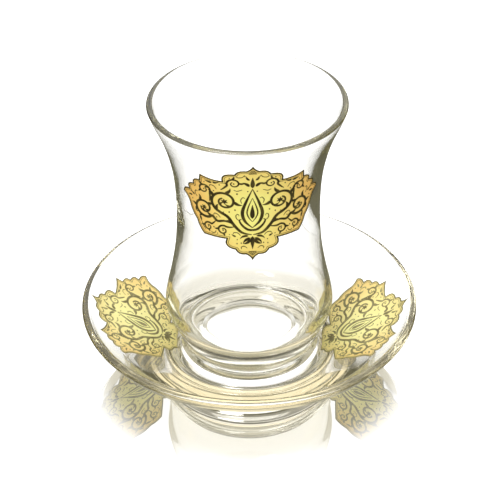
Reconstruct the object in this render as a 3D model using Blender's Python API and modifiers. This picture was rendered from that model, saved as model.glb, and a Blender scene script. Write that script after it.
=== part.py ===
"""A clear tulip-shaped tea glass standing in the well of its clear glass saucer.

The glass carries one gilt medallion on its front, and the saucer two, on its left and right.
Metres, +Z up. The origin is the centre of the circle on which the saucer's foot ring stands.
"""

import math

import bmesh
import bpy

# Driving dimensions of the saucer
SAUCER_RADIUS = 0.0545
SAUCER_HEIGHT = 0.0268
SAUCER_EDGE_RADIUS = 0.0013
WELL_RADIUS = 0.0232
WELL_HEIGHT = 0.0085
BEND_RADIUS = 0.0465
BEND_HEIGHT = 0.0208
FOOT_RING_RADIUS = 0.0290
FOOT_RING_WIDTH = 0.0026
FOOT_RING_ROUNDING = 0.0007
FOOT_RING_ROOT = 0.0064
ROOT_FILLET = 0.0010
UNDERSIDE_HEIGHT = 0.0048

# Driving dimensions of the glass, with heights above the face that it stands on
CLEARANCE = 0.0003
GLASS_HEIGHT = 0.0916
RIM_RADIUS = 0.03065
RIM_THICKNESS = 0.0019
WAIST_RADIUS = 0.02257
BELLY_RADIUS = 0.02715
NECK_RADIUS = 0.0222
GLASS_FOOT_RADIUS = 0.0227
GLASS_FOOT_ROUNDING = 0.0020
STANDING_RING_INNER = 0.0165
PUNT_RADIUS = 0.0132
PUNT_DEPTH = 0.0012
FLOOR_HEIGHT = 0.0085

# Driving dimensions of the gilt medallions
GILT_THICKNESS = 0.0003
MEDALLION_HALF_WIDTH = 0.0240
MEDALLION_HALF_HEIGHT = 0.0190
MEDALLION_CENTRE_HEIGHT = 0.0672
MEDALLION_AZIMUTH = math.radians(3.0)
SAUCER_MEDALLION_SCALE = 0.92
SAUCER_MEDALLION_RADIUS = 0.0366
SAUCER_MEDALLION_INNER_RADIUS = 0.0242
SAUCER_MEDALLION_AZIMUTHS = {"left": math.radians(178.5), "right": math.radians(-2.5)}
SAUCER_MEDALLION_TURNS = {"left": math.radians(-5.0), "right": math.radians(5.0)}

GLASS_SIDES = 52
SAUCER_SIDES = 60
CELL = 0.0048


def clear_scene():
    for old in list(bpy.data.objects):
        bpy.data.objects.remove(old, do_unlink=True)


def new_collection(name):
    collection = bpy.data.collections.new(name)
    bpy.context.scene.collection.children.link(collection)
    return collection


def plain_material(name, colour, roughness, metallic=0.0, transmission=0.0):
    material = bpy.data.materials.new(name)
    material.use_nodes = True
    shader = material.node_tree.nodes["Principled BSDF"]
    shader.inputs["Base Color"].default_value = (*colour, 1.0)
    shader.inputs["Roughness"].default_value = roughness
    shader.inputs["Metallic"].default_value = metallic
    shader.inputs["Transmission Weight"].default_value = transmission
    material.diffuse_color = (*colour, 1.0)
    return material


def smooth_curve(stations, steps):
    """Points on a smooth curve through the stations, with the given number of steps between two of them."""
    points = []
    for i in range(len(stations) - 1):
        before = stations[max(i - 1, 0)]
        start = stations[i]
        end = stations[i + 1]
        after = stations[min(i + 2, len(stations) - 1)]
        for k in range(steps):
            t = k / steps
            points.append(tuple(
                0.5 * (2 * b + (c - a) * t + (2 * a - 5 * b + 4 * c - d) * t**2 + (3 * b - a - 3 * c + d) * t**3)
                for a, b, c, d in zip(before, start, end, after)
            ))
    points.append(stations[-1])
    return points


def arc(centre, radius, start_degrees, end_degrees, steps):
    """Points (radius, height) on an arc, angles from the outward horizontal."""
    points = []
    for k in range(steps + 1):
        angle = math.radians(start_degrees + (end_degrees - start_degrees) * k / steps)
        points.append((centre[0] + radius * math.cos(angle), centre[1] + radius * math.sin(angle)))
    return points


def turned(name, profile, sides, collection, material):
    """A solid turned from a closed profile of (radius, height) that begins and ends on the axis."""
    mesh = bpy.data.meshes.new(name)
    vertices = [(radius, 0.0, height) for radius, height in profile]
    edges = [(i, i + 1) for i in range(len(vertices) - 1)]
    mesh.from_pydata(vertices, edges, [])
    piece = bpy.data.objects.new(name, mesh)
    collection.objects.link(piece)
    screw = piece.modifiers.new("turn", "SCREW")
    screw.axis = "Z"
    screw.angle = math.tau
    screw.steps = sides
    screw.render_steps = sides
    screw.use_merge_vertices = True
    screw.merge_threshold = 0.00001
    screw.use_smooth_shade = True
    mesh.materials.append(material)
    return piece


# The glass: heights here are above its own foot, and the object is lifted onto the saucer's well

def glass_outside():
    """Stations (radius, height) down the outside, from just under the rim to the neck above the foot."""
    return [
        (RIM_RADIUS, GLASS_HEIGHT - RIM_THICKNESS / 2),
        (0.0292, 0.0868),
        (0.0268, 0.0811),
        (0.0247, 0.0742),
        (0.0231, 0.0652),
        (WAIST_RADIUS, 0.0532),
        (0.0232, 0.0409),
        (0.0248, 0.0308),
        (0.0264, 0.0235),
        (BELLY_RADIUS, 0.0187),
        (0.0267, 0.0152),
        (0.0247, 0.0108),
        (NECK_RADIUS, 0.0062),
    ]


def glass_inside():
    """Stations (radius, height) up the inside, from the middle of the thick floor to the rim."""
    return [
        (0.0, FLOOR_HEIGHT),
        (0.0095, FLOOR_HEIGHT + 0.0001),
        (0.0165, FLOOR_HEIGHT + 0.0007),
        (0.0212, FLOOR_HEIGHT + 0.0031),
        (0.0243, FLOOR_HEIGHT + 0.0068),
        (0.02525, 0.0190),
        (0.0249, 0.0235),
        (0.0234, 0.0308),
        (0.0217, 0.0409),
        (0.0206, 0.0532),
        (0.0213, 0.0652),
        (0.02335, 0.0742),
        (0.0255, 0.0811),
        (0.0277, 0.0868),
        (RIM_RADIUS - RIM_THICKNESS, GLASS_HEIGHT - RIM_THICKNESS / 2),
    ]


def glass_profile():
    inside = smooth_curve(glass_inside(), 2)
    outside = smooth_curve(glass_outside(), 2)
    rim_centre = (RIM_RADIUS - RIM_THICKNESS / 2, GLASS_HEIGHT - RIM_THICKNESS / 2)
    rim = arc(rim_centre, RIM_THICKNESS / 2, 180, 0, 6)
    foot_centre = (GLASS_FOOT_RADIUS - GLASS_FOOT_ROUNDING, GLASS_FOOT_ROUNDING)
    foot = arc(foot_centre, GLASS_FOOT_ROUNDING, 20, -90, 4)
    punt = [(STANDING_RING_INNER, 0.0), (PUNT_RADIUS, PUNT_DEPTH), (0.0, PUNT_DEPTH)]
    return inside + rim[1:-1] + outside + foot + punt


def build_glass(collection):
    material = plain_material("clear glass", (0.93, 0.94, 0.88), 0.03, transmission=1.0)
    glass = turned("tea_glass", glass_profile(), GLASS_SIDES, collection, material)
    glass.location.z = WELL_HEIGHT + CLEARANCE
    return glass


# The saucer: a flat well inside a conical wall that steepens at a bend and ends in a rounded edge

def saucer_top():
    """Stations (radius, height) up the upper face, from the edge of the well to the rounded edge."""
    edge = SAUCER_EDGE_RADIUS
    return [
        (WELL_RADIUS, WELL_HEIGHT),
        (0.0243, 0.0090),
        (0.0350, 0.0147),
        (0.0440, 0.0194),
        (BEND_RADIUS, BEND_HEIGHT),
        (0.0497, 0.0234),
        (SAUCER_RADIUS - 1.8 * edge, SAUCER_HEIGHT - 0.6 * edge),
    ]


def saucer_underside():
    """Stations (radius, height) down the lower face, from the rounded edge to the root of the foot ring."""
    edge = SAUCER_EDGE_RADIUS
    return [
        (SAUCER_RADIUS - 0.4 * edge, SAUCER_HEIGHT - 2.0 * edge),
        (0.0512, 0.0208),
        (BEND_RADIUS, 0.0174),
        (0.0380, 0.0120),
        (0.0312, 0.0078),
        (FOOT_RING_RADIUS + ROOT_FILLET / 4, FOOT_RING_ROOT),
    ]


def saucer_profile():
    edge_centre = (SAUCER_RADIUS - SAUCER_EDGE_RADIUS, SAUCER_HEIGHT - SAUCER_EDGE_RADIUS)
    edge = arc(edge_centre, SAUCER_EDGE_RADIUS, 125, -25, 5)
    ring_inside = FOOT_RING_RADIUS - FOOT_RING_WIDTH
    ring = [
        (FOOT_RING_RADIUS, FOOT_RING_ROUNDING),
        (FOOT_RING_RADIUS - FOOT_RING_ROUNDING, 0.0),
        (ring_inside + FOOT_RING_ROUNDING, 0.0),
        (ring_inside, FOOT_RING_ROUNDING),
        (ring_inside - ROOT_FILLET / 4, UNDERSIDE_HEIGHT - ROOT_FILLET),
        (ring_inside - ROOT_FILLET, UNDERSIDE_HEIGHT),
    ]
    well = [(0.0, WELL_HEIGHT), (WELL_RADIUS / 2, WELL_HEIGHT)]
    top = smooth_curve(saucer_top(), 2)
    underside = smooth_curve(saucer_underside(), 2)
    return well + top + edge + underside + ring + [(0.0, UNDERSIDE_HEIGHT)]


def build_saucer(collection):
    material = plain_material("clear saucer glass", (0.93, 0.94, 0.88), 0.03, transmission=1.0)
    return turned("saucer", saucer_profile(), SAUCER_SIDES, collection, material)


# The gilt medallions: a cusped outline laid on the curved glass, with its long axis level

def medallion_cusps():
    """Cusps of the right-hand half as ((across, up), bulge of the arc to the next cusp), in half widths and heights."""
    return [
        ((0.000, 1.000), -0.10),
        ((0.080, 0.870), 0.22),
        ((0.225, 0.780), 0.30),
        ((0.385, 0.590), -0.06),
        ((0.690, 0.640), 0.00),
        ((0.700, 0.500), 0.26),
        ((0.800, 0.360), 0.26),
        ((0.880, 0.190), 0.20),
        ((1.000, 0.050), -0.10),
        ((0.880, -0.130), 0.06),
        ((0.760, -0.390), 0.06),
        ((0.650, -0.620), 0.00),
        ((0.335, -0.610), 0.28),
        ((0.215, -0.800), 0.22),
        ((0.080, -0.880), -0.10),
    ]


def bulged(start, end, bulge, steps):
    """Points from start up to end along an arc that rises outward by bulge times the chord."""
    across = end[0] - start[0]
    up = end[1] - start[1]
    points = []
    for k in range(steps):
        t = k / steps
        rise = 4 * bulge * t * (1 - t)
        points.append((start[0] + across * t - up * rise, start[1] + up * t + across * rise))
    return points


def medallion_outline(steps=3):
    """The whole outline, anticlockwise from beside the top tip, in half widths and half heights."""
    cusps = medallion_cusps()
    bottom = (0.0, -1.0)
    right = []
    for i, (start, bulge) in enumerate(cusps):
        end = cusps[i + 1][0] if i + 1 < len(cusps) else bottom
        right += bulged(start, end, bulge, steps if bulge else 1)
    left = [(-across, up) for across, up in right[1:]]
    return left + [bottom] + right[::-1]


def gilt_sheet(name, half_width, half_height, place, collection, material):
    """A thin sheet with the medallion's outline, cut into cells and laid on a surface by place(across, up)."""
    shape = bmesh.new()
    outline = [(across * half_width, up * half_height) for across, up in medallion_outline()]
    shape.faces.new([shape.verts.new((across, up, 0.0)) for across, up in outline])
    for axis, half in ((0, half_width), (1, half_height)):
        count = int(2 * half / CELL)
        for k in range(1, count):
            cut = [0.0, 0.0, 0.0]
            cut[axis] = -half + 2 * half * k / count
            normal = [0.0, 0.0, 0.0]
            normal[axis] = 1.0
            everything = list(shape.verts) + list(shape.edges) + list(shape.faces)
            bmesh.ops.bisect_plane(shape, geom=everything, plane_co=cut, plane_no=normal, dist=0.00001)
    bmesh.ops.triangulate(shape, faces=list(shape.faces))
    for vertex in shape.verts:
        vertex.co = place(vertex.co.x, vertex.co.y)
    mesh = bpy.data.meshes.new(name)
    shape.to_mesh(mesh)
    shape.free()
    sheet = bpy.data.objects.new(name, mesh)
    collection.objects.link(sheet)
    skin = sheet.modifiers.new("gilt thickness", "SOLIDIFY")
    skin.thickness = GILT_THICKNESS
    skin.offset = 1.0
    mesh.materials.append(material)
    return sheet


def radius_at(stations, height):
    """Radius of the smooth curve through the stations at a height."""
    points = smooth_curve(stations, 8)
    for (r0, z0), (r1, z1) in zip(points, points[1:]):
        if min(z0, z1) <= height <= max(z0, z1):
            return r0 + (r1 - r0) * (height - z0) / (z1 - z0)
    return points[-1][0]


def height_at(stations, radius):
    """Height of the smooth curve through the stations at a radius."""
    points = smooth_curve(stations, 8)
    for (r0, z0), (r1, z1) in zip(points, points[1:]):
        if min(r0, r1) <= radius <= max(r0, r1):
            return z0 + (z1 - z0) * (radius - r0) / (r1 - r0)
    return points[-1][1]


def on_glass(across, up):
    """A point of the front medallion: across is an arc length round the glass, up is a height."""
    height = MEDALLION_CENTRE_HEIGHT + up
    radius = radius_at(glass_outside(), height)
    angle = MEDALLION_AZIMUTH + across / radius
    reach = radius + CLEARANCE
    return (reach * math.sin(angle), -reach * math.cos(angle), WELL_HEIGHT + CLEARANCE + height)


def on_saucer(azimuth, turn):
    """A placing function for a medallion on the saucer's wall, whose top points outward but for its turn."""
    slant = math.hypot(1.0, (BEND_HEIGHT - WELL_HEIGHT) / (BEND_RADIUS - WELL_RADIUS))

    def place(across, up):
        sideways = across * math.cos(turn) - up * math.sin(turn)
        outward = SAUCER_MEDALLION_RADIUS + (across * math.sin(turn) + up * math.cos(turn)) / slant
        radius = max(math.hypot(outward, sideways), SAUCER_MEDALLION_INNER_RADIUS)
        angle = azimuth + math.atan2(-sideways, outward)
        height = height_at(saucer_top(), radius) + CLEARANCE * slant
        return (radius * math.cos(angle), radius * math.sin(angle), height)

    return place


def build_medallions(collection):
    gilt = plain_material("gilt", (0.86, 0.66, 0.27), 0.30, metallic=0.6)
    gilt_sheet("glass_medallion", MEDALLION_HALF_WIDTH, MEDALLION_HALF_HEIGHT, on_glass, collection, gilt)
    half_width = MEDALLION_HALF_WIDTH * SAUCER_MEDALLION_SCALE
    half_height = MEDALLION_HALF_HEIGHT * SAUCER_MEDALLION_SCALE
    for side, azimuth in SAUCER_MEDALLION_AZIMUTHS.items():
        name = "saucer_medallion_" + side
        place = on_saucer(azimuth, SAUCER_MEDALLION_TURNS[side])
        gilt_sheet(name, half_width, half_height, place, collection, gilt)


clear_scene()
tea_set = new_collection("tea_glass_and_saucer")
build_glass(tea_set)
build_saucer(tea_set)
build_medallions(tea_set)
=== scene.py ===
"""A clear tulip tea glass on its clear glass saucer, both with gilt medallions, on a glossy white floor."""
import math

import bmesh
import bpy
from mathutils import Euler, Matrix, Vector, noise


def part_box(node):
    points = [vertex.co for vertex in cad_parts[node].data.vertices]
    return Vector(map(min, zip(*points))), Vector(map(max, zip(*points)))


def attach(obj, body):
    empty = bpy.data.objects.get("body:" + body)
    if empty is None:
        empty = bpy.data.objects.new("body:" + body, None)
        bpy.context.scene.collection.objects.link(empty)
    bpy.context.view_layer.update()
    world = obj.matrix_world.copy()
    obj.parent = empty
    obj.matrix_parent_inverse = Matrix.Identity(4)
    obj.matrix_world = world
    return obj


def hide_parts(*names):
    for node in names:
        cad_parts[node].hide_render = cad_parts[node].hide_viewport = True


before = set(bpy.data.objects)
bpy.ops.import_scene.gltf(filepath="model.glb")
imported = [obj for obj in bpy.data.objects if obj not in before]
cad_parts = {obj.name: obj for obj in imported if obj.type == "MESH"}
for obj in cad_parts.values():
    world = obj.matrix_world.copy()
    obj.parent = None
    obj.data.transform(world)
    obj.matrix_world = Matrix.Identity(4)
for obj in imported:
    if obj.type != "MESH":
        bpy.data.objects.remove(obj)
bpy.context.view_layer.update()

# The saucer is one piece of pressed and fire-polished soda-lime glass: a flat well for the glass's
# foot, a conical wall that steepens at a bend, a rounded edge, and a low foot ring under the well.
# Its mould leaves the underside a few hundredths of a millimetre uneven, which shows as soft streaks.

_, saucer_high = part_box("saucer")
saucer_radius = 0.0545
saucer_height = saucer_high.z
edge_radius = 0.0013
well_radius = 0.0232
well_height = 0.0085
bend_radius = 0.0465
bend_height = 0.0208
ring_radius = 0.0290
ring_width = 0.0026
ring_rounding = 0.0007
ring_root = 0.0064
root_fillet = 0.0010
underside_height = 0.0048
underside_unevenness = 0.00007
round_segments = 240
on_axis = 1e-7


def smooth_curve(stations, steps):
    """Points on a smooth curve through the stations, with the given number of steps between two of them."""
    points = []
    for i in range(len(stations) - 1):
        before = stations[max(i - 1, 0)]
        start = stations[i]
        end = stations[i + 1]
        after = stations[min(i + 2, len(stations) - 1)]
        for k in range(steps):
            t = k / steps
            points.append(tuple(
                0.5 * (
                    2 * b + (c - a) * t
                    + (2 * a - 5 * b + 4 * c - d) * t**2
                    + (3 * b - a - 3 * c + d) * t**3
                )
                for a, b, c, d in zip(before, start, end, after)
            ))
    points.append(stations[-1])
    return points


def arc(centre, radius, start_degrees, end_degrees, steps):
    """Points (radius, height) on an arc, angles from the outward horizontal."""
    turn = end_degrees - start_degrees
    angles = [math.radians(start_degrees + turn * k / steps) for k in range(steps + 1)]
    return [(centre[0] + radius * math.cos(a), centre[1] + radius * math.sin(a)) for a in angles]


def unevenness(angle, height, amount):
    """How far hot-worked glass wanders from true at one place of a turned wall."""
    return amount * noise.noise(Vector((math.cos(angle) * 1.6, math.sin(angle) * 1.6, height * 130.0)))


def turned_piece(name, profile, moved):
    """A closed turned mesh of the profile, each point of which is moved a little by moved(i, angle)."""
    shape = bmesh.new()
    rings = []
    for i, (radius, height) in enumerate(profile):
        if radius < on_axis:
            rings.append([shape.verts.new((0.0, 0.0, height))])
            continue
        ring = []
        for k in range(round_segments):
            angle = math.tau * k / round_segments
            outward, sideways = moved(i, angle)
            reach = radius + outward
            across = reach * math.cos(angle) + sideways
            ring.append(shape.verts.new((across, reach * math.sin(angle), height)))
        rings.append(ring)
    for lower, upper in zip(rings, rings[1:]):
        for k in range(round_segments):
            m = (k + 1) % round_segments
            if len(lower) == 1:
                shape.faces.new((lower[0], upper[m], upper[k]))
            elif len(upper) == 1:
                shape.faces.new((lower[k], lower[m], upper[0]))
            else:
                shape.faces.new((lower[k], lower[m], upper[m], upper[k]))
    bmesh.ops.recalc_face_normals(shape, faces=list(shape.faces))
    mesh = bpy.data.meshes.new(name)
    shape.to_mesh(mesh)
    shape.free()
    mesh.shade_smooth()
    piece = bpy.data.objects.new(name, mesh)
    bpy.context.scene.collection.objects.link(piece)
    return piece


saucer_top = [
    (well_radius, well_height),
    (0.0243, 0.0090),
    (0.0350, 0.0147),
    (0.0440, 0.0194),
    (bend_radius, bend_height),
    (0.0497, 0.0234),
    (saucer_radius - 1.8 * edge_radius, saucer_height - 0.6 * edge_radius),
]
saucer_underside = [
    (saucer_radius - 0.4 * edge_radius, saucer_height - 2.0 * edge_radius),
    (0.0512, 0.0208),
    (bend_radius, 0.0174),
    (0.0380, 0.0120),
    (0.0312, 0.0078),
    (ring_radius + root_fillet / 4, ring_root),
]
ring_inside = ring_radius - ring_width
ring_fillet = [
    (ring_inside - 0.0001, 0.0028),
    (ring_inside - root_fillet / 4, underside_height - root_fillet),
    (ring_inside - root_fillet, underside_height),
]
edge_centre = (saucer_radius - edge_radius, saucer_height - edge_radius)
upper_face = [(0.0, well_height), (well_radius / 3, well_height), (well_radius * 0.7, well_height)]
upper_face += smooth_curve(saucer_top, 8)
upper_face += arc(edge_centre, edge_radius, 125, -25, 18)
lower_face = smooth_curve(saucer_underside, 8)
lower_face += arc((ring_radius - ring_rounding, ring_rounding), ring_rounding, 0, -90, 6)
lower_face += arc((ring_inside + ring_rounding, ring_rounding), ring_rounding, -90, -180, 6)
lower_face += smooth_curve(ring_fillet, 5)
lower_face += [(ring_inside / 2, underside_height), (0.0, underside_height)]
saucer_profile = upper_face + lower_face


def saucer_moved(i, angle):
    """Only the wall's underside is uneven."""
    radius, height = saucer_profile[i]
    if i < len(upper_face) + 3 or radius < ring_radius + root_fillet:
        return 0.0, 0.0
    return unevenness(angle, height, underside_unevenness), 0.0


saucer = turned_piece("saucer_clear", saucer_profile, saucer_moved)

glass_ior = 1.5
glass_roughness_most = 0.012
tint_patch_scale = 45.0
saucer_thin_tint = (0.996, 0.995, 0.990)
saucer_thick_tint = (0.991, 0.988, 0.979)
saucer_absorbed = (0.90, 0.84, 0.56)
saucer_density = 9.0

# Handling film, as a shader group: a slow patchy mask, and a fine grain for the height of bumps
film = bpy.data.node_groups.new("handling film", "ShaderNodeTree")
film.interface.new_socket("Patch Scale", in_out="INPUT", socket_type="NodeSocketFloat").default_value = 60.0
film.interface.new_socket("Grain Scale", in_out="INPUT", socket_type="NodeSocketFloat").default_value = 900.0
film.interface.new_socket("Mask", in_out="OUTPUT", socket_type="NodeSocketFloat")
film.interface.new_socket("Grain", in_out="OUTPUT", socket_type="NodeSocketFloat")
film_in = film.nodes.new("NodeGroupInput")
film_out = film.nodes.new("NodeGroupOutput")
film_place = film.nodes.new("ShaderNodeTexCoord")
film_patch = film.nodes.new("ShaderNodeTexNoise")
film_patch.inputs["Detail"].default_value = 3.0
film_grain = film.nodes.new("ShaderNodeTexNoise")
film_grain.inputs["Detail"].default_value = 2.0
film.links.new(film_place.outputs["Object"], film_patch.inputs["Vector"])
film.links.new(film_place.outputs["Object"], film_grain.inputs["Vector"])
film.links.new(film_in.outputs["Patch Scale"], film_patch.inputs["Scale"])
film.links.new(film_in.outputs["Grain Scale"], film_grain.inputs["Scale"])
film.links.new(film_patch.outputs["Fac"], film_out.inputs["Mask"])
film.links.new(film_grain.outputs["Fac"], film_out.inputs["Grain"])


def clear_glass(name, thin_tint, thick_tint, absorbed, density):
    """Clear glass: two close tints in slow patches, a trace of film, and a tint that grows with depth."""
    material = bpy.data.materials.new(name)
    material.use_nodes = True
    nodes = material.node_tree.nodes
    links = material.node_tree.links
    shader = nodes["Principled BSDF"]
    shader.inputs["Transmission Weight"].default_value = 1.0
    shader.inputs["IOR"].default_value = glass_ior
    patches = nodes.new("ShaderNodeGroup")
    patches.node_tree = film
    patches.inputs["Patch Scale"].default_value = tint_patch_scale
    tint = nodes.new("ShaderNodeMix")
    tint.data_type = "RGBA"
    tint.inputs["A"].default_value = (*thin_tint, 1.0)
    tint.inputs["B"].default_value = (*thick_tint, 1.0)
    links.new(patches.outputs["Mask"], tint.inputs["Factor"])
    links.new(tint.outputs["Result"], shader.inputs["Base Color"])
    gloss = nodes.new("ShaderNodeMapRange")
    gloss.inputs["To Min"].default_value = 0.0
    gloss.inputs["To Max"].default_value = glass_roughness_most
    links.new(patches.outputs["Mask"], gloss.inputs["Value"])
    links.new(gloss.outputs["Result"], shader.inputs["Roughness"])
    depth = nodes.new("ShaderNodeVolumeAbsorption")
    depth.inputs["Color"].default_value = (*absorbed, 1.0)
    depth.inputs["Density"].default_value = density
    links.new(depth.outputs["Volume"], nodes["Material Output"].inputs["Volume"])
    return material


saucer_tints = (saucer_thin_tint, saucer_thick_tint, saucer_absorbed)
saucer_finish = clear_glass("clear saucer glass", *saucer_tints, saucer_density)
saucer.data.materials.append(saucer_finish)
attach(saucer, "root")
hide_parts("saucer")

# The glass is one piece of the same soda-lime glass: a thick solid foot, a rounded belly, a narrow
# waist and a mouth that flares to a rounded rim. It stands loose in the saucer's well. Its bore is a
# little off centre, so the wall is thicker on the right above the waist and on the left below it.

glass_low, glass_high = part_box("tea_glass")
foot_level = glass_low.z
glass_height = glass_high.z - foot_level
rim_radius = 0.03065
rim_thickness = 0.0019
waist_radius = 0.02257
belly_radius = 0.02715
neck_radius = 0.0222
foot_radius = 0.0227
foot_rounding = 0.0020
floor_height = 0.0085
bore_unevenness = 0.00004
even_radius = 0.02
glass_thin_tint = (0.996, 0.9955, 0.991)
glass_thick_tint = (0.992, 0.990, 0.983)
glass_absorbed = (0.88, 0.85, 0.60)
glass_density = 6.0

glass_outside = [
    (rim_radius, glass_height - rim_thickness / 2),
    (0.0292, 0.0868),
    (0.0268, 0.0811),
    (0.0247, 0.0742),
    (0.0231, 0.0652),
    (waist_radius, 0.0532),
    (0.0232, 0.0409),
    (0.0248, 0.0308),
    (0.0264, 0.0235),
    (belly_radius, 0.0187),
    (0.0267, 0.0152),
    (0.0247, 0.0108),
    (neck_radius, 0.0062),
]
glass_inside = [
    (0.0, floor_height),
    (0.0095, floor_height + 0.0001),
    (0.0176, floor_height + 0.0006),
    (0.0220, floor_height + 0.0030),
    (0.0245, floor_height + 0.0066),
    (0.02525, 0.0190),
    (0.0249, 0.0235),
    (0.0234, 0.0308),
    (0.0217, 0.0409),
    (0.0208, 0.0532),
    (0.0215, 0.0652),
    (0.02335, 0.0742),
    (0.0255, 0.0811),
    (0.0277, 0.0868),
    (rim_radius - rim_thickness, glass_height - rim_thickness / 2),
]
bore_shift = [
    (0.0, 0.0),
    (0.0180, 0.0),
    (0.0300, 0.00015),
    (0.0420, 0.00015),
    (0.0490, -0.00015),
    (0.0570, -0.00060),
    (0.0660, -0.00060),
    (0.0760, -0.00040),
    (0.0830, -0.00020),
    (glass_height, 0.0),
]
rim_centre = (rim_radius - rim_thickness / 2, glass_height - rim_thickness / 2)
foot_centre = (foot_radius - foot_rounding, foot_rounding)
bore = smooth_curve(glass_inside, 8)
glass_profile = bore + arc(rim_centre, rim_thickness / 2, 180, 0, 18)[1:-1]
glass_profile += smooth_curve(glass_outside, 8)
glass_profile += arc(foot_centre, foot_rounding, 20, -90, 12)
glass_profile += smooth_curve([(0.0165, 0.0), (0.0155, 0.0004), (0.0132, 0.0012), (0.0, 0.0012)], 5)


def along_profile(stations, key, value):
    """The other coordinate of a smooth profile, where its coordinate number key has the given value."""
    points = smooth_curve(stations, 16)
    for start, end in zip(points, points[1:]):
        if min(start[key], end[key]) <= value <= max(start[key], end[key]):
            span = end[key] - start[key]
            share = (value - start[key]) / span if span else 0.0
            return start[1 - key] + (end[1 - key] - start[1 - key]) * share
    return points[-1][1 - key]


bore_shifts = [along_profile(bore_shift, 0, height) for _, height in bore]


def glass_moved(i, angle):
    """Only the bore is uneven and off centre."""
    if i >= len(bore) - 2:
        return 0.0, 0.0
    radius, height = bore[i]
    return unevenness(angle, height, bore_unevenness) * min(1.0, radius / even_radius), bore_shifts[i]


tea_glass = turned_piece("tea_glass_clear", [(r, foot_level + z) for r, z in glass_profile], glass_moved)
glass_tints = (glass_thin_tint, glass_thick_tint, glass_absorbed)
glass_finish = clear_glass("clear tea glass", *glass_tints, glass_density)
tea_glass.data.materials.append(glass_finish)
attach(tea_glass, "root")
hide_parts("tea_glass")

# The gilt medallions are fired transfers with a cusped outline. Their gold runs from lemon in the
# middle to orange at the sides, and is a few hundredths of a millimetre thick on the glass.

medallion_half_width = 0.0240
medallion_half_height = 0.0190
medallion_centre_height = 0.0672
medallion_azimuth = math.radians(3.0)
saucer_medallion_scale = 0.92
saucer_medallion_radius = 0.0366
saucer_medallion_inner_radius = 0.0242
saucer_medallion_azimuths = {"left": math.radians(178.5), "right": math.radians(-2.5)}
saucer_medallion_turns = {"left": math.radians(-5.0), "right": math.radians(5.0)}
gilt_thickness = 0.00004
gilt_stand_off = 0.00005
gilt_cell = 0.0009
steps_a_metre = 20000
slope_reach = 0.0005
gold_on_glass = ((0.96, 0.90, 0.25), (0.91, 0.58, 0.145), (0.82, 0.47, 0.11))
gold_on_saucer = ((1.0, 0.95, 0.38), (0.98, 0.77, 0.27), (0.90, 0.62, 0.20))
metal_on_glass = 0.2
metal_on_saucer = 0.1
gold_stretch = (1.25, 0.70, 1.0)
gold_cloud_share = 0.45
gold_shrink = 0.65

# Cusps of the right-hand half, ((across, up), bulge of the arc to the next), in half widths and heights
cusps = [
    ((0.000, 1.000), -0.10),
    ((0.080, 0.870), 0.22),
    ((0.225, 0.780), 0.30),
    ((0.385, 0.590), -0.06),
    ((0.690, 0.640), 0.00),
    ((0.700, 0.500), 0.26),
    ((0.800, 0.360), 0.26),
    ((0.880, 0.190), 0.20),
    ((1.000, 0.050), -0.10),
    ((0.880, -0.130), 0.06),
    ((0.760, -0.390), 0.06),
    ((0.650, -0.620), 0.00),
    ((0.335, -0.610), 0.28),
    ((0.215, -0.800), 0.22),
    ((0.080, -0.880), -0.10),
    ((0.000, -1.000), 0.00),
]


def medallion_outline(steps):
    """The outline in metres, anticlockwise from beside the top tip."""
    right = []
    for (start, bulge), (end, _) in zip(cusps, cusps[1:]):
        across = end[0] - start[0]
        up = end[1] - start[1]
        for k in range(steps):
            t = k / steps
            rise = 4 * bulge * t * (1 - t)
            right.append((start[0] + across * t - up * rise, start[1] + up * t + across * rise))
    left = [(-across, up) for across, up in right[1:]]
    outline = left + [(0.0, -1.0)] + right[::-1]
    return [(across * medallion_half_width, up * medallion_half_height) for across, up in outline]


glass_radii = {}
saucer_heights = {}


def glass_radius_at(height):
    """The glass's outer radius, kept for every twentieth of a millimetre."""
    step = round(height * steps_a_metre)
    if step not in glass_radii:
        glass_radii[step] = along_profile(glass_outside, 1, step / steps_a_metre)
    return glass_radii[step]


def saucer_height_at(radius):
    """The height of the saucer's upper face, kept for every twentieth of a millimetre."""
    step = round(radius * steps_a_metre)
    if step not in saucer_heights:
        saucer_heights[step] = along_profile(saucer_top, 0, step / steps_a_metre)
    return saucer_heights[step]


def between_steps(measure, value):
    """A measure that is kept at steps, read smoothly between two of them."""
    low = math.floor(value * steps_a_metre) / steps_a_metre
    share = (value - low) * steps_a_metre
    return measure(low) * (1 - share) + measure(low + 1 / steps_a_metre) * share


def on_glass(across, up, lift):
    """A point of the front medallion, lift above the outside of the glass."""
    height = medallion_centre_height + up
    radius = between_steps(glass_radius_at, height)
    gain = glass_radius_at(height + slope_reach) - glass_radius_at(height - slope_reach)
    slope = gain / (2 * slope_reach)
    level = math.hypot(1.0, slope)
    angle = medallion_azimuth + across / radius
    reach = radius + lift / level
    above_table = foot_level + height - lift * slope / level
    return Vector((reach * math.sin(angle), -reach * math.cos(angle), above_table))


def on_saucer(azimuth, turn):
    """A placing function for a medallion on the saucer's wall, its top outward but for its turn."""
    slant = math.hypot(1.0, (bend_height - well_height) / (bend_radius - well_radius))

    def place(across, up, lift):
        sideways = (across * math.cos(turn) - up * math.sin(turn)) * saucer_medallion_scale
        rise = (across * math.sin(turn) + up * math.cos(turn)) * saucer_medallion_scale
        outward = saucer_medallion_radius + rise / slant
        radius = max(math.hypot(outward, sideways), saucer_medallion_inner_radius)
        angle = azimuth + math.atan2(-sideways, outward)
        gain = saucer_height_at(radius + slope_reach) - saucer_height_at(radius - slope_reach)
        slope = gain / (2 * slope_reach)
        level = math.hypot(1.0, slope)
        reach = radius - lift * slope / level
        height = between_steps(saucer_height_at, radius) + lift / level
        return Vector((reach * math.cos(angle), reach * math.sin(angle), height))

    return place


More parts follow.
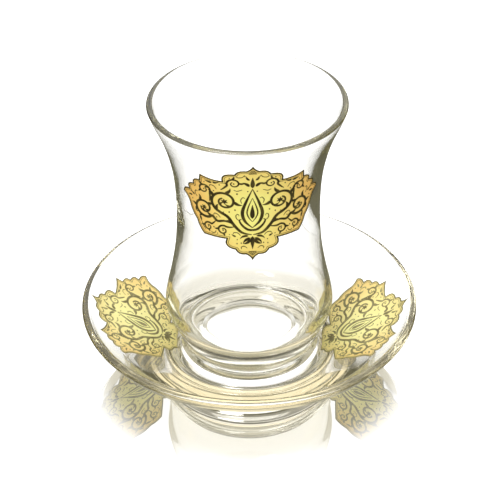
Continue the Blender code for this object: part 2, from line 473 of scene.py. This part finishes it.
def gilt_sheet(name, place):
    """The medallion's gold as a thin closed sheet that follows the glass under it."""
    shape = bmesh.new()
    shape.faces.new([shape.verts.new((across, up, 0.0)) for across, up in medallion_outline(8)])
    for axis, half in ((0, medallion_half_width), (1, medallion_half_height)):
        count = int(2 * half / gilt_cell)
        for k in range(1, count):
            cut = [0.0, 0.0, 0.0]
            cut[axis] = -half + 2 * half * k / count
            normal = [0.0, 0.0, 0.0]
            normal[axis] = 1.0
            everything = list(shape.verts) + list(shape.edges) + list(shape.faces)
            bmesh.ops.bisect_plane(shape, geom=everything, plane_co=cut, plane_no=normal, dist=0.000001)
    bmesh.ops.triangulate(shape, faces=list(shape.faces))
    flat = [(v.co.x, v.co.y) for v in shape.verts]
    for vertex, (across, up) in zip(shape.verts, flat):
        vertex.co = place(across, up, gilt_stand_off)
    mesh = bpy.data.meshes.new(name)
    shape.to_mesh(mesh)
    shape.free()
    for k, half in ((0, medallion_half_width), (1, medallion_half_height)):
        layer = mesh.attributes.new(("medallion_across", "medallion_up")[k], "FLOAT", "POINT")
        layer.data.foreach_set("value", [point[k] / half for point in flat])
    mesh.shade_smooth()
    sheet = bpy.data.objects.new(name, mesh)
    bpy.context.scene.collection.objects.link(sheet)
    skin = sheet.modifiers.new("gilt thickness", "SOLIDIFY")
    skin.thickness = gilt_thickness
    skin.offset = 1.0
    return sheet


def gilt(name, middle, sides, edge, metal):
    """Fired gold, lemon in the middle and orange outward, cloudy, finely grained and satin."""
    material = bpy.data.materials.new(name)
    material.use_nodes = True
    nodes = material.node_tree.nodes
    links = material.node_tree.links
    shader = nodes["Principled BSDF"]
    shader.inputs["Metallic"].default_value = metal
    across = nodes.new("ShaderNodeAttribute")
    across.attribute_name = "medallion_across"
    up = nodes.new("ShaderNodeAttribute")
    up.attribute_name = "medallion_up"
    place = nodes.new("ShaderNodeCombineXYZ")
    links.new(across.outputs["Fac"], place.inputs["X"])
    links.new(up.outputs["Fac"], place.inputs["Y"])
    stretch = nodes.new("ShaderNodeVectorMath")
    stretch.operation = "MULTIPLY"
    stretch.inputs[1].default_value = gold_stretch
    links.new(place.outputs["Vector"], stretch.inputs[0])
    reach = nodes.new("ShaderNodeVectorMath")
    reach.operation = "LENGTH"
    links.new(stretch.outputs["Vector"], reach.inputs[0])
    clouds = nodes.new("ShaderNodeGroup")
    clouds.node_tree = film
    clouds.inputs["Patch Scale"].default_value = 160.0
    clouds.inputs["Grain Scale"].default_value = 2600.0
    wander = nodes.new("ShaderNodeMath")
    wander.operation = "MULTIPLY_ADD"
    wander.inputs[1].default_value = gold_cloud_share
    links.new(clouds.outputs["Mask"], wander.inputs[0])
    links.new(reach.outputs["Value"], wander.inputs[2])
    shrink = nodes.new("ShaderNodeMath")
    shrink.operation = "MULTIPLY"
    shrink.inputs[1].default_value = gold_shrink
    links.new(wander.outputs["Value"], shrink.inputs[0])
    ramp = nodes.new("ShaderNodeValToRGB")
    ramp.color_ramp.elements[0].position = 0.25
    ramp.color_ramp.elements[0].color = (*middle, 1.0)
    ramp.color_ramp.elements[1].position = 0.98
    ramp.color_ramp.elements[1].color = (*edge, 1.0)
    ramp.color_ramp.elements.new(0.72).color = (*sides, 1.0)
    links.new(shrink.outputs["Value"], ramp.inputs["Fac"])
    links.new(ramp.outputs["Color"], shader.inputs["Base Color"])
    rough = nodes.new("ShaderNodeMapRange")
    rough.inputs["To Min"].default_value = 0.30
    rough.inputs["To Max"].default_value = 0.46
    links.new(clouds.outputs["Mask"], rough.inputs["Value"])
    links.new(rough.outputs["Result"], shader.inputs["Roughness"])
    bump = nodes.new("ShaderNodeBump")
    bump.inputs["Strength"].default_value = 0.15
    bump.inputs["Distance"].default_value = 0.00004
    links.new(clouds.outputs["Grain"], bump.inputs["Height"])
    links.new(bump.outputs["Normal"], shader.inputs["Normal"])
    return material


medallions = {"glass_medallion": (on_glass, "gilt_on_glass")}
for side, azimuth in saucer_medallion_azimuths.items():
    place = on_saucer(azimuth, saucer_medallion_turns[side])
    medallions[f"saucer_medallion_{side}"] = (place, "gilt_on_saucer")
gilt_finishes = {
    "gilt_on_glass": gilt("gilt on glass", *gold_on_glass, metal_on_glass),
    "gilt_on_saucer": gilt("gilt on saucer", *gold_on_saucer, metal_on_saucer),
}
for node, (place, slot) in medallions.items():
    sheet = gilt_sheet(f"{node}_gilt", place)
    sheet.data.materials.append(gilt_finishes[slot])
    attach(sheet, "root")
    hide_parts(node)

# Line ornament is drawn through the gold in dark enamel: a bud on the axis, leafy scrolls on both
# sides, small nets in the two tips, and a double line round the edge. It is fired with the gold.

enamel_foot = 0.00002
enamel_top = 0.00013
border_lines = ((0.0, 0.50), (0.84, 0.98))
thick_on_glass = (0.030, 0.022, 0.004)
thin_on_glass = (0.085, 0.065, 0.012)
thick_on_saucer = (0.22, 0.19, 0.075)
thin_on_saucer = (0.38, 0.34, 0.15)
thinnest_line = 0.03


def scroll(centre, start_radius, end_radius, start_degrees, turn_degrees, start_width, end_width):
    """A spiral stem, as stations (across, up, half width) in millimetres."""
    count = max(6, int(abs(turn_degrees) / 24))
    stations = []
    for k in range(count + 1):
        t = k / count
        angle = math.radians(start_degrees + turn_degrees * t)
        radius = start_radius + (end_radius - start_radius) * t**0.85
        width = start_width + (end_width - start_width) * t
        stations.append((centre[0] + radius * math.cos(angle), centre[1] + radius * math.sin(angle), width))
    return stations


def leaf(base, heading_degrees, length, bend_degrees, half_width):
    """A half-palmette leaf that swells near its base and curls to a point."""
    count = 7
    across, up = base
    stations = []
    for k in range(count + 1):
        t = k / count
        stations.append((across, up, half_width * math.sin(math.pi * t**0.62) + thinnest_line))
        heading = math.radians(heading_degrees + bend_degrees * t**1.3)
        across += length / count * math.cos(heading)
        up += length / count * math.sin(heading)
    return stations


def leaves_on(stem, growths):
    """Leaves that grow from a stem: each growth is its share along it, side, length and half width."""
    points = smooth_curve(stem, 6)
    leaves = []
    for share, side, length, half_width in growths:
        i = min(len(points) - 2, int(share * (len(points) - 1)))
        across, up, _ = points[i]
        heading = math.degrees(math.atan2(points[i + 1][1] - up, points[i + 1][0] - across))
        leaves.append(leaf((across, up), heading + side * 38, length, side * 75, half_width))
    return leaves


def flower(centre, petals, length, half_width, turn_degrees):
    """A small flower of straight petals."""
    return [leaf(centre, turn_degrees + 360.0 * k / petals, length, 0, half_width) for k in range(petals)]


def dot(across, up, half_width):
    """A round dot, as a very short stroke."""
    steps = ((-0.8, 0.1), (-0.5, 0.8), (0.0, 1.0), (0.5, 0.8), (0.8, 0.1))
    return [(across + shift * half_width, up, share * half_width) for shift, share in steps]


def net(half_width, base_up, tip_up, rows):
    """Crossed lines in a triangle that points into a tip."""
    lines = [[(-half_width, base_up, 0.08), (0.0, base_up, 0.09), (half_width, base_up, 0.08)]]
    for side in (-1, 1):
        for k in range(rows):
            share = k / rows
            foot = (side * half_width * (2 * share - 1), base_up)
            head = (side * half_width * share, base_up + (tip_up - base_up) * (1 - share))
            middle = ((foot[0] + head[0]) / 2, (foot[1] + head[1]) / 2)
            lines.append([(*foot, 0.07), (*middle, 0.08), (*head, 0.07)])
    return lines


great_stem = [(0.2, -9.4, 0.12), (3.2, -8.6, 0.40), (5.6, -6.0, 0.50), (7.4, -3.2, 0.50)]
great_stem += scroll((8.5, 2.7), 4.7, 1.35, -75, 500, 0.50, 0.28)
wide_stem = [(5.9, -5.6, 0.16), (8.4, -4.9, 0.34), (10.8, -5.4, 0.44)]
wide_stem += scroll((15.3, -1.5), 3.8, 1.15, -140, 500, 0.48, 0.26)
shoulder_stem = [(13.3, 1.6, 0.12), (13.1, 3.4, 0.28)]
shoulder_stem += scroll((15.2, 6.1), 2.3, 0.7, 205, -440, 0.38, 0.18)
low_stem = [(5.2, -6.6, 0.12), (6.6, -7.0, 0.26)]
low_stem += scroll((9.0, -8.5), 1.9, 0.6, 130, -430, 0.34, 0.16)
corner_stem = [(11.2, -5.4, 0.12), (12.2, -6.6, 0.26)]
corner_stem += scroll((13.9, -8.4), 1.7, 0.5, 130, -430, 0.32, 0.16)
dome_stem = [(9.6, 7.4, 0.12), (8.6, 8.4, 0.28)]
dome_stem += scroll((5.6, 10.6), 2.3, 0.7, -25, 440, 0.36, 0.16)
right_strokes = [great_stem, wide_stem, shoulder_stem, low_stem, corner_stem, dome_stem]
right_strokes += leaves_on(great_stem, [
    (0.10, -1, 2.4, 0.40),
    (0.20, 1, 2.6, 0.46),
    (0.33, -1, 3.0, 0.50),
    (0.45, -1, 3.2, 0.52),
    (0.58, -1, 3.2, 0.52),
    (0.66, 1, 1.9, 0.34),
    (0.80, 1, 1.7, 0.32),
])
right_strokes += leaves_on(wide_stem, [
    (0.14, 1, 2.2, 0.40),
    (0.24, -1, 1.6, 0.34),
    (0.36, -1, 2.1, 0.40),
    (0.47, -1, 2.7, 0.46),
    (0.58, -1, 2.6, 0.44),
    (0.72, 1, 1.7, 0.32),
    (0.84, 1, 1.5, 0.28),
])
shoulder_leaves = [(0.22, -1, 1.7, 0.34), (0.36, 1, 2.0, 0.36), (0.56, 1, 1.6, 0.34)]
right_strokes += leaves_on(shoulder_stem, shoulder_leaves)
right_strokes += leaves_on(low_stem, [(0.34, 1, 1.6, 0.32), (0.56, 1, 1.3, 0.30)])
right_strokes += leaves_on(corner_stem, [(0.34, 1, 1.6, 0.32), (0.56, 1, 1.1, 0.28)])
right_strokes += leaves_on(dome_stem, [(0.30, -1, 1.8, 0.34), (0.48, -1, 1.8, 0.34)])
right_strokes += flower((8.5, 2.7), 6, 1.15, 0.28, 20) + flower((15.3, -1.5), 6, 1.0, 0.24, 50)
# The bud's two contours and the collar under it
right_strokes += [
    [(0.0, -6.8, 0.10), (2.2, -4.4, 0.42), (3.0, -1.2, 0.52), (2.1, 2.6, 0.42), (0.0, 8.6, 0.10)],
    [(0.0, -4.6, 0.06), (1.1, -2.9, 0.18), (1.6, -1.0, 0.22), (1.1, 1.6, 0.18), (0.0, 4.8, 0.06)],
    [(0.0, -7.7, 0.36), (1.5, -7.4, 0.40), (3.1, -5.9, 0.34), (3.9, -4.2, 0.24), (3.3, -3.6, 0.10)],
]
# Loose leaves in the domes, the wings and the corners
right_strokes += [
    leaf((1.0, 9.6), 62, 3.0, -80, 0.48),
    leaf((0.9, 12.4), 40, 2.2, 60, 0.34),
    leaf((0.5, -11.0), -62, 3.2, 70, 0.48),
    leaf((0.6, -10.6), -22, 3.2, -60, 0.44),
    leaf((1.2, -9.9), 4, 3.0, -80, 0.36),
    leaf((19.8, 1.3), 0, 1.9, -30, 0.30),
    leaf((18.9, 1.9), 55, 1.5, -60, 0.28),
    leaf((18.5, -2.6), -95, 1.9, 30, 0.30),
    leaf((16.9, -5.6), -110, 1.9, 20, 0.34),
    leaf((12.4, 9.7), 5, 2.5, 15, 0.36),
    leaf((12.2, 9.9), 178, 2.2, -50, 0.34),
    leaf((5.0, -10.3), 15, 1.5, 40, 0.26),
]
# Fine tendrils in the gaps
right_strokes += [
    [(3.9, -4.2, 0.10), (4.8, -3.4, 0.14), (4.9, -2.2, 0.13), (4.2, -1.8, 0.10), (4.0, -2.5, 0.06)],
    [(3.2, 2.6, 0.08), (3.5, 3.9, 0.13), (2.9, 5.0, 0.13), (2.2, 4.7, 0.08)],
    [(9.8, -3.9, 0.08), (10.6, -2.9, 0.13), (11.7, -2.7, 0.13), (12.0, -3.5, 0.08)],
    [(12.9, -0.2, 0.08), (12.9, 1.0, 0.12), (12.2, 1.2, 0.06)],
    [(17.9, 1.7, 0.08), (18.6, 2.9, 0.13), (18.3, 4.1, 0.13), (17.6, 3.9, 0.07)],
    [(10.9, 7.3, 0.08), (11.8, 8.5, 0.13), (13.0, 8.6, 0.13), (13.2, 7.9, 0.07)],
    [(3.1, 8.2, 0.08), (4.6, 7.6, 0.13), (5.6, 8.0, 0.08)],
    [(2.4, 14.7, 0.07), (3.1, 13.7, 0.13), (4.4, 13.5, 0.13), (4.8, 14.0, 0.07)],
    [(1.6, -14.4, 0.07), (2.5, -13.7, 0.13), (3.4, -14.1, 0.13), (3.3, -14.8, 0.07)],
    [(3.6, -9.8, 0.08), (4.4, -8.9, 0.13), (5.6, -8.9, 0.12), (5.8, -9.5, 0.07)],
    [(11.3, -9.2, 0.08), (11.6, -10.0, 0.13), (12.5, -10.3, 0.12), (12.9, -9.9, 0.07)],
    [(16.3, -7.4, 0.08), (16.0, -8.3, 0.12), (15.4, -9.3, 0.12), (14.8, -10.0, 0.07)],
]
right_dots = [
    (5.2, -0.2, 0.28), (4.6, 6.4, 0.32), (7.0, -1.2, 0.26), (8.8, -1.6, 0.22), (11.0, -4.0, 0.22),
    (12.0, -8.0, 0.24), (18.6, 5.9, 0.24), (20.2, 2.9, 0.20), (11.9, 6.4, 0.26), (1.4, 7.6, 0.24),
    (19.8, 0.0, 0.24), (18.0, -4.2, 0.24), (2.3, 14.2, 0.22), (6.9, 13.0, 0.24), (3.4, -12.6, 0.24),
    (4.7, -12.9, 0.24), (4.6, -11.4, 0.20), (15.0, 9.2, 0.22), (10.8, -10.1, 0.20), (9.0, -8.5, 0.30),
    (13.9, -8.4, 0.26), (15.2, 6.1, 0.28), (5.6, 10.6, 0.30), (7.0, -9.8, 0.20), (10.0, 9.4, 0.26),
]
right_strokes += [dot(*place_and_size) for place_and_size in right_dots]
strokes = [
    leaf((0.0, -3.4), 90, 5.4, 0, 0.66),
    leaf((0.0, 9.0), 90, 4.6, 0, 0.62),
    leaf((0.0, -10.0), -90, 4.8, 0, 0.62),
]
strokes += net(1.2, 15.2, 16.9, 4) + net(1.2, -15.6, -17.1, 4)
for stroke in right_strokes:
    strokes.append(stroke)
    strokes.append([(-across, up, half_width) for across, up, half_width in stroke])


def gap_to(outline, point):
    """The distance from a point to a closed outline."""
    nearest = math.inf
    for start, end in zip(outline, outline[1:] + outline[:1]):
        side = end - start
        share = min(1.0, max(0.0, (point - start).dot(side) / side.length_squared))
        nearest = min(nearest, (start + side * share - point).length)
    return nearest


def inset(outline, amount):
    """A closed outline moved inward by the same amount all round, cut short in its sharp tips."""
    moved = []
    for i, corner in enumerate(outline):
        arriving = (corner - outline[i - 1]).normalized()
        leaving = (outline[(i + 1) % len(outline)] - corner).normalized()
        along = arriving + leaving
        step = 2.0 * amount / max(along.length, 1.0) ** 2
        moved.append(corner + Vector((-along.y, along.x)) * step)
    kept = [gap_to(outline, point) >= 0.96 * amount for point in moved]
    last = moved[max(i for i, good in enumerate(kept) if good)]
    for i, good in enumerate(kept):
        last = moved[i] if good else last
        moved[i] = last
    return moved


def stroke_sides(stroke):
    """The two long sides of a stroke of changing width."""
    points = smooth_curve(stroke, 5)
    left = []
    right = []
    for i, (across, up, half_width) in enumerate(points):
        before = points[max(i - 1, 0)]
        after = points[min(i + 1, len(points) - 1)]
        along = Vector((after[0] - before[0], after[1] - before[1])).normalized()
        width = max(half_width, thinnest_line)
        left.append((across - along.y * width, up + along.x * width))
        right.append((across + along.y * width, up - along.x * width))
    return left, right


mm = 0.001
ribbons = [(*stroke_sides(stroke), False) for stroke in strokes]
medallion_edge = [Vector((across / mm, up / mm)) for across, up in medallion_outline(8)]
ribbons += [(inset(medallion_edge, near), inset(medallion_edge, far), True) for near, far in border_lines]


def enamel_lines(name, place):
    """All strokes of one medallion as one mesh of thin closed ribbons, from under the gold to above it."""
    vertices = []
    faces = []
    for left, right, closed in ribbons:
        first = len(vertices)
        for (left_across, left_up), (right_across, right_up) in zip(left, right):
            for lift in (enamel_foot, enamel_top):
                vertices.append(place(left_across * mm, left_up * mm, lift))
                vertices.append(place(right_across * mm, right_up * mm, lift))
        count = len(left)
        for i in range(count if closed else count - 1):
            a = first + 4 * i
            b = first + 4 * ((i + 1) % count)
            faces += [(a + 2, b + 2, b + 3, a + 3), (a, a + 1, b + 1, b), (a, b, b + 2, a + 2)]
            faces.append((a + 1, a + 3, b + 3, b + 1))
        if not closed:
            end = first + 4 * (count - 1)
            faces += [(first, first + 2, first + 3, first + 1), (end, end + 1, end + 3, end + 2)]
    mesh = bpy.data.meshes.new(name)
    mesh.from_pydata(vertices, [], faces)
    shape = bmesh.new()
    shape.from_mesh(mesh)
    bmesh.ops.dissolve_degenerate(shape, dist=0.0000005, edges=list(shape.edges))
    bmesh.ops.recalc_face_normals(shape, faces=list(shape.faces))
    shape.to_mesh(mesh)
    shape.free()
    lines = bpy.data.objects.new(name, mesh)
    bpy.context.scene.collection.objects.link(lines)
    return lines


def enamel(name, thick, thin):
    """Dark enamel whose colour is thinner in places."""
    material = bpy.data.materials.new(name)
    material.use_nodes = True
    nodes = material.node_tree.nodes
    links = material.node_tree.links
    shader = nodes["Principled BSDF"]
    shader.inputs["Specular IOR Level"].default_value = 0.2
    patches = nodes.new("ShaderNodeGroup")
    patches.node_tree = film
    patches.inputs["Patch Scale"].default_value = 420.0
    patches.inputs["Grain Scale"].default_value = 3000.0
    thinness = nodes.new("ShaderNodeMapRange")
    thinness.inputs["From Min"].default_value = 0.42
    thinness.inputs["From Max"].default_value = 0.68
    links.new(patches.outputs["Mask"], thinness.inputs["Value"])
    colour = nodes.new("ShaderNodeMix")
    colour.data_type = "RGBA"
    colour.inputs["A"].default_value = (*thick, 1.0)
    colour.inputs["B"].default_value = (*thin, 1.0)
    links.new(thinness.outputs["Result"], colour.inputs["Factor"])
    links.new(colour.outputs["Result"], shader.inputs["Base Color"])
    rough = nodes.new("ShaderNodeMapRange")
    rough.inputs["To Min"].default_value = 0.35
    rough.inputs["To Max"].default_value = 0.55
    links.new(patches.outputs["Grain"], rough.inputs["Value"])
    links.new(rough.outputs["Result"], shader.inputs["Roughness"])
    return material


enamels = {
    "gilt_on_glass": enamel("dark enamel on glass", thick_on_glass, thin_on_glass),
    "gilt_on_saucer": enamel("thin enamel on saucer", thick_on_saucer, thin_on_saucer),
}
for node, (place, slot) in medallions.items():
    lines = enamel_lines(f"{node}_lines", place)
    lines.data.materials.append(enamels[slot])
    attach(lines, "root")

# The floor is glossy white acrylic, which mirrors what stands on it and fades to plain white further
# out. It glows like a light table. Its glow in light that glass has thrown back is painted light and
# shade: in light thrown back once it is dim under the glass's foot and far out, which is painted shade,
# and paler and warm under the saucer's wall, which is painted light.

floor_reach = 4.0
floor_drop = 0.00002
white_level = 1.6
lit_level = 1.0
# Light that glass has thrown back many times meets this dark level, painted shade that darkens the glass's
# rims and edges.
trapped_painted_shade = (0.12, 0.114, 0.076, 1.0)
trapped_reflections = 7.5
far_surfaces = 4.5
mirror_share = 0.92
mirror_roughness = 0.012
mirror_tint = (0.97, 0.97, 0.96, 1.0)
mirror_start = 0.0262
mirror_full_start = 0.0270
mirror_full_end = 0.044
mirror_end = 0.063
# Painted light and shade: the floor's glow by distance from the middle, in light that glass has thrown back
# once, through many glass surfaces, and many times.
painted_once_stops = [
    (0.028, (0.03, 0.029, 0.020, 1.0)),
    (0.033, (0.60, 0.58, 0.46, 1.0)),
    (0.052, (0.60, 0.58, 0.46, 1.0)),
    (0.062, (0.15, 0.143, 0.092, 1.0)),
]
painted_far_stops = [
    (0.028, (0.06, 0.058, 0.040, 1.0)),
    (0.033, (0.36, 0.34, 0.24, 1.0)),
    (0.052, (0.36, 0.34, 0.24, 1.0)),
    (0.075, (1.00, 0.97, 0.86, 1.0)),
]
painted_often_stops = [
    (0.028, (1.34, 1.17, 0.79, 1.0)),
    (0.033, (0.40, 0.38, 0.27, 1.0)),
    (0.056, (0.40, 0.38, 0.27, 1.0)),
    (0.064, (0.16, 0.148, 0.090, 1.0)),
]

floor_shape = bmesh.new()
bmesh.ops.create_circle(floor_shape, cap_ends=True, segments=96, radius=floor_reach)
floor_mesh = bpy.data.meshes.new("floor")
floor_shape.to_mesh(floor_mesh)
floor_shape.free()
floor = bpy.data.objects.new("floor", floor_mesh)
floor.location.z = -floor_drop
bpy.context.scene.collection.objects.link(floor)


def level_ramp(nodes, stops):
    """A colour ramp through the stops (place, colour)."""
    ramp = nodes.new("ShaderNodeValToRGB")
    elements = ramp.color_ramp.elements
    elements[0].position, elements[0].color = stops[0]
    elements[1].position, elements[1].color = stops[-1]
    for place, colour in stops[1:-1]:
        elements.new(place).color = colour
    return ramp


def above(nodes, links, value, limit):
    """One where the value is above the limit, and nought elsewhere."""
    test = nodes.new("ShaderNodeMath")
    test.operation = "GREATER_THAN"
    test.inputs[1].default_value = limit
    links.new(value, test.inputs[0])
    return test.outputs["Value"]


def mixed(nodes, links, share, first, second):
    """The first colour, or the second where the share is one; each is a fixed colour or an output."""
    mix = nodes.new("ShaderNodeMix")
    mix.data_type = "RGBA"
    links.new(share, mix.inputs["Factor"])
    for name, colour in (("A", first), ("B", second)):
        if isinstance(colour, tuple):
            mix.inputs[name].default_value = colour
        else:
            links.new(colour, mix.inputs[name])
    return mix.outputs["Result"]


def studio_glow(nodes, links, straight, thrown_once, thrown_far, thrown_often):
    """White in straight views, other levels in light that glass has thrown, a dark level of painted shade in
    light it has thrown many times, milder on matt things.
    """
    path = nodes.new("ShaderNodeLightPath")
    once = above(nodes, links, path.outputs["Glossy Depth"], 0.5)
    often = above(nodes, links, path.outputs["Glossy Depth"], 1.5)
    trapped = above(nodes, links, path.outputs["Glossy Depth"], trapped_reflections)
    far = above(nodes, links, path.outputs["Transmission Depth"], far_surfaces)
    scattered = above(nodes, links, path.outputs["Diffuse Depth"], 0.5)
    level = mixed(nodes, links, often, thrown_once, thrown_often)
    level = mixed(nodes, links, far, level, thrown_far)
    level = mixed(nodes, links, once, straight, level)
    level = mixed(nodes, links, trapped, level, trapped_painted_shade)
    return mixed(nodes, links, scattered, level, (lit_level, lit_level, lit_level, 1.0)), once


floor_finish = bpy.data.materials.new("glossy white floor")
floor_finish.use_nodes = True
floor_nodes = floor_finish.node_tree.nodes
floor_links = floor_finish.node_tree.links
floor_nodes.remove(floor_nodes["Principled BSDF"])
floor_place = floor_nodes.new("ShaderNodeTexCoord")
from_middle = floor_nodes.new("ShaderNodeVectorMath")
from_middle.operation = "LENGTH"
floor_links.new(floor_place.outputs["Object"], from_middle.inputs[0])
floor_levels = [(white_level, white_level, white_level, 1.0)]
for stops in (painted_once_stops, painted_far_stops, painted_often_stops):
    ramp = level_ramp(floor_nodes, stops)
    floor_links.new(from_middle.outputs["Value"], ramp.inputs["Fac"])
    floor_levels.append(ramp.outputs["Color"])
glow_colour, reflected = studio_glow(floor_nodes, floor_links, *floor_levels)
glow = floor_nodes.new("ShaderNodeEmission")
floor_links.new(glow_colour, glow.inputs["Color"])
mirror = floor_nodes.new("ShaderNodeBsdfGlossy")
mirror.inputs["Roughness"].default_value = mirror_roughness
mirror.inputs["Color"].default_value = mirror_tint
bare = (0.0, 0.0, 0.0, 1.0)
full = (mirror_share, mirror_share, mirror_share, 1.0)
mirror_stops = [(mirror_start, bare), (mirror_full_start, full), (mirror_full_end, full), (mirror_end, bare)]
mirror_ramp = level_ramp(floor_nodes, mirror_stops)
mirror_ramp.color_ramp.interpolation = "EASE"
floor_links.new(from_middle.outputs["Value"], mirror_ramp.inputs["Fac"])
only_first = floor_nodes.new("ShaderNodeMath")
only_first.operation = "SUBTRACT"
only_first.use_clamp = True
floor_links.new(mirror_ramp.outputs["Color"], only_first.inputs[0])
floor_links.new(reflected, only_first.inputs[1])
pool = floor_nodes.new("ShaderNodeMixShader")
floor_links.new(only_first.outputs["Value"], pool.inputs["Fac"])
floor_links.new(glow.outputs["Emission"], pool.inputs[1])
floor_links.new(mirror.outputs["BSDF"], pool.inputs[2])
floor_links.new(pool.outputs["Shader"], floor_nodes["Material Output"].inputs["Surface"])
floor_mesh.materials.append(floor_finish)

# Studio light: an even white surround, one broad soft lamp above the viewer's left shoulder, and for
# light that glass has reflected a darker room on the viewer's side and a warm pale wall behind.

lamp_power = 1.75
lamp_size = 0.35
sky_once_stops = [
    (0.49, (0.15, 0.143, 0.095, 1.0)),
    (0.57, (1.12, 1.12, 1.10, 1.0)),
    (0.74, (1.12, 1.12, 1.10, 1.0)),
    (0.80, (0.20, 0.190, 0.135, 1.0)),
]
sky_often_stops = [
    (0.30, (0.20, 0.187, 0.120, 1.0)),
    (0.50, (0.36, 0.338, 0.240, 1.0)),
    (0.68, (0.62, 0.58, 0.45, 1.0)),
]
sky_bent_stops = [
    (0.15, (white_level, white_level, white_level, 1.0)),
    (0.30, (0.32, 0.310, 0.250, 1.0)),
]
sky_dark = (0.13, 0.124, 0.080, 1.0)
sky_far = (1.10, 1.07, 0.98, 1.0)
horizon_limit = 0.10
back_limit = 0.45

world = bpy.data.worlds.new("white studio")
bpy.context.scene.world = world
world.use_nodes = True
world_nodes = world.node_tree.nodes
world_links = world.node_tree.links
sky_place = world_nodes.new("ShaderNodeTexCoord")
sky_parts = world_nodes.new("ShaderNodeSeparateXYZ")
world_links.new(sky_place.outputs["Generated"], sky_parts.inputs["Vector"])
to_back = world_nodes.new("ShaderNodeMapRange")
to_back.inputs["From Min"].default_value = -1.0
world_links.new(sky_parts.outputs["Y"], to_back.inputs["Value"])
sky_levels = []
for stops, place in (
    (sky_bent_stops, sky_parts.outputs["Z"]),
    (sky_once_stops, sky_parts.outputs["Z"]),
    (sky_often_stops, to_back.outputs["Result"]),
):
    ramp = level_ramp(world_nodes, stops)
    world_links.new(place, ramp.inputs["Fac"])
    sky_levels.append(ramp.outputs["Color"])
white = (white_level, white_level, white_level, 1.0)
sky_path = world_nodes.new("ShaderNodeLightPath")
entered = above(world_nodes, world_links, sky_path.outputs["Transmission Depth"], 0.5)
over_horizon = above(world_nodes, world_links, sky_parts.outputs["Z"], horizon_limit)
behind = above(world_nodes, world_links, sky_parts.outputs["Y"], back_limit)
sky_straight = mixed(world_nodes, world_links, entered, white, sky_levels[0])
sky_mirrored = mixed(world_nodes, world_links, over_horizon, sky_dark, white)
sky_once = mixed(world_nodes, world_links, behind, sky_dark, sky_levels[1])
sky_once = mixed(world_nodes, world_links, entered, sky_mirrored, sky_once)
sky_colour, _ = studio_glow(world_nodes, world_links, sky_straight, sky_once, sky_far, sky_levels[2])
world_links.new(sky_colour, world_nodes["Background"].inputs["Color"])

lamp_data = bpy.data.lights.new("soft lamp", "AREA")
lamp_data.shape = "DISK"
lamp_data.size = lamp_size
lamp_data.energy = lamp_power
lamp = bpy.data.objects.new("soft lamp", lamp_data)
lamp.location = (-0.25, -0.45, 0.55)
lamp.rotation_euler = (Vector((0, 0, 0.05)) - lamp.location).to_track_quat("-Z", "Y").to_euler()
bpy.context.scene.collection.objects.link(lamp)

# The camera stands above the viewer's side, 35 degrees above level, with a long lens. It leans half a
# degree, as the photograph does.

camera_tilt = 35.0
camera_lean = 0.5
camera_data = bpy.data.cameras.new("camera")
camera_data.sensor_width = 36.0
camera_data.lens = 122.4
camera = bpy.data.objects.new("camera", camera_data)
camera.location = (0.0004, -0.4464, 0.3576)
looking_down = Euler((math.radians(90.0 - camera_tilt), 0.0, 0.0)).to_matrix()
camera.rotation_euler = (looking_down @ Matrix.Rotation(math.radians(-camera_lean), 3, "Z")).to_euler()
bpy.context.scene.collection.objects.link(camera)
bpy.context.scene.camera = camera
bpy.context.scene.view_settings.view_transform = "Standard"
bpy.context.scene.cycles.max_bounces = 160
bpy.context.scene.cycles.glossy_bounces = 128
bpy.context.scene.cycles.transmission_bounces = 48
